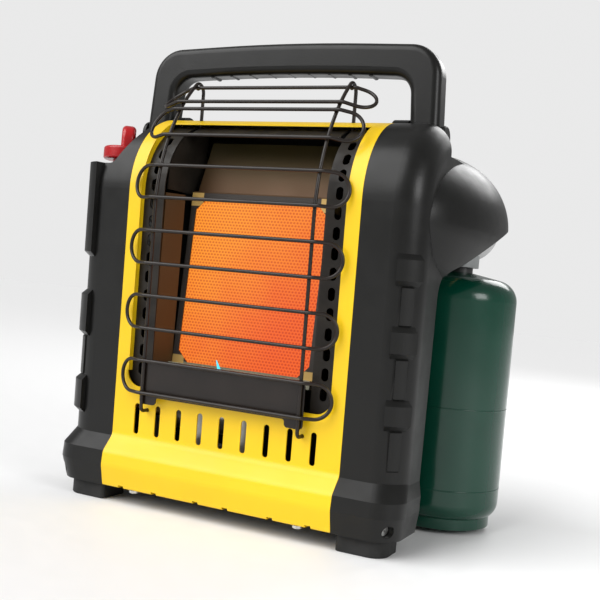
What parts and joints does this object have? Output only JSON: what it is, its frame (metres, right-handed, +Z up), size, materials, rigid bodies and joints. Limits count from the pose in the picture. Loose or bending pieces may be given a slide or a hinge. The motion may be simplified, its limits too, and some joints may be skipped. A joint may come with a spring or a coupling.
{
  "type": "portable propane heater",
  "caption": "Portable propane heater with a glowing ceramic tile in a yellow front, black side casings, a wire guard, a folding handle and a small gas cylinder in a side well.",
  "frame": {"origin": "on the floor under the middle of the whole object's bounding box, cylinder and guard included", "axes": "+Z up, front with the guard towards -Y, gas cylinder at +X and rear"},
  "size_m": [0.332, 0.2108, 0.381],
  "materials": {
    "yellow_paint": "satin bright yellow powder coat",
    "black_plastic": "charcoal black moulded plastic, satin",
    "black_paint": "satin black powder coat",
    "wire_paint": "dark bronze black heat proof coat",
    "zinc_steel": "zinc plated steel",
    "dark_steel": "heat darkened steel",
    "reflector_steel": "heat tinted steel",
    "frame_steel": "heat tinted bright steel",
    "glowing_tile": "glowing porous ceramic",
    "gasket_fibre": "pressed ceramic fibre",
    "brass": "turned brass",
    "cast_alloy": "die cast alloy",
    "red_plastic": "glossy red plastic",
    "grey_plastic": "grey moulded plastic",
    "copper_tube": "drawn copper tube",
    "white_ceramic": "glazed ceramic",
    "lead_sleeve": "silicone sleeved lead",
    "foot_rubber": "black rubber",
    "green_paint": "dark green gloss enamel",
    "black_valve": "black collar on the cylinder valve"
  },
  "bodies": {
    "heater": {"base_pan": "black_paint", "base_screws": "zinc_steel", "burner_box": "dark_steel", "casing_screws": "zinc_steel", "ceramic_tile": "glowing_tile", "foot_front_left": "foot_rubber", "foot_front_right": "foot_rubber", "foot_rear_left": "foot_rubber", "foot_rear_right": "foot_rubber", "front_panel": "yellow_paint", "gas_orifice": "brass", "gas_valve_body": "cast_alloy", "guard_loop_1": "wire_paint", "guard_loop_2": "wire_paint", "guard_loop_3": "wire_paint", "guard_loop_4": "wire_paint", "guard_loop_5": "wire_paint", "guard_loop_6": "wire_paint", "guard_plate": "wire_paint", "guard_upright_left": "wire_paint", "guard_upright_right": "wire_paint", "handle_pivot_pins": "black_plastic", "ignition_lead": "lead_sleeve", "left_casing": "black_plastic", "lower_rail": "frame_steel", "main_gas_tube": "copper_tube", "orifice_bracket": "zinc_steel", "piezo_igniter": "grey_plastic", "pilot_bracket": "zinc_steel", "pilot_burner": "brass", "pilot_tube": "copper_tube", "rear_cover": "black_paint", "reflector_hood": "reflector_steel", "right_casing": "black_plastic", "side_reflector_left": "reflector_steel", "side_reflector_right": "reflector_steel", "side_strip_left": "dark_steel", "side_strip_right": "dark_steel", "spark_electrode": "white_ceramic", "supply_tube": "copper_tube", "swivel_bracket": "zinc_steel", "swivel_spindle": "brass", "thermocouple": "copper_tube", "thermocouple_lead": "lead_sleeve", "tile_frame": "frame_steel", "tile_gasket": "gasket_fibre", "tip_switch": "grey_plastic", "top_strip": "dark_steel", "upper_side_plate_left": "dark_steel", "upper_side_plate_right": "dark_steel", "valve_bracket": "zinc_steel", "venturi_tube": "zinc_steel"},
    "carry_handle": {"handle": "black_plastic"},
    "swivel_regulator": {"regulator_body": "cast_alloy", "regulator_cap": "grey_plastic", "inlet_socket": "grey_plastic"},
    "gas_cylinder": {"cylinder_shell": "green_paint", "cylinder_valve": "black_valve"},
    "control_stem": {"valve_stem": "zinc_steel"},
    "control_knob": {"knob": "red_plastic"}
  },
  "joints": [
    {"name": "handle_fold", "type": "hinge", "parent": "heater", "child": "carry_handle", "pos_m": [-0.0155, -0.02257, 0.307], "axis": [-1, 0, 0], "range_deg": [0, 78]},
    {"name": "cylinder_swing", "type": "hinge", "parent": "heater", "child": "swivel_regulator", "pos_m": [0.1175, 0.05693, 0.246], "axis": [0, -1, 0], "range_deg": [0, 30]},
    {"name": "cylinder_draw", "type": "slide", "parent": "swivel_regulator", "child": "gas_cylinder", "axis": [0, 0, -1], "range_m": [0, 0.03]},
    {"name": "knob_turn", "type": "hinge", "parent": "heater", "child": "control_stem", "pos_m": [-0.1465, -0.05707, 0.27], "axis": [0, 0, 1], "range_deg": [0, 225]},
    {"name": "knob_push", "type": "slide", "parent": "control_stem", "child": "control_knob", "axis": [0, 0, -1], "range_m": [0, 0.003], "stiffness_N_per_m": 700, "springref_m": -0.001}
  ]
}
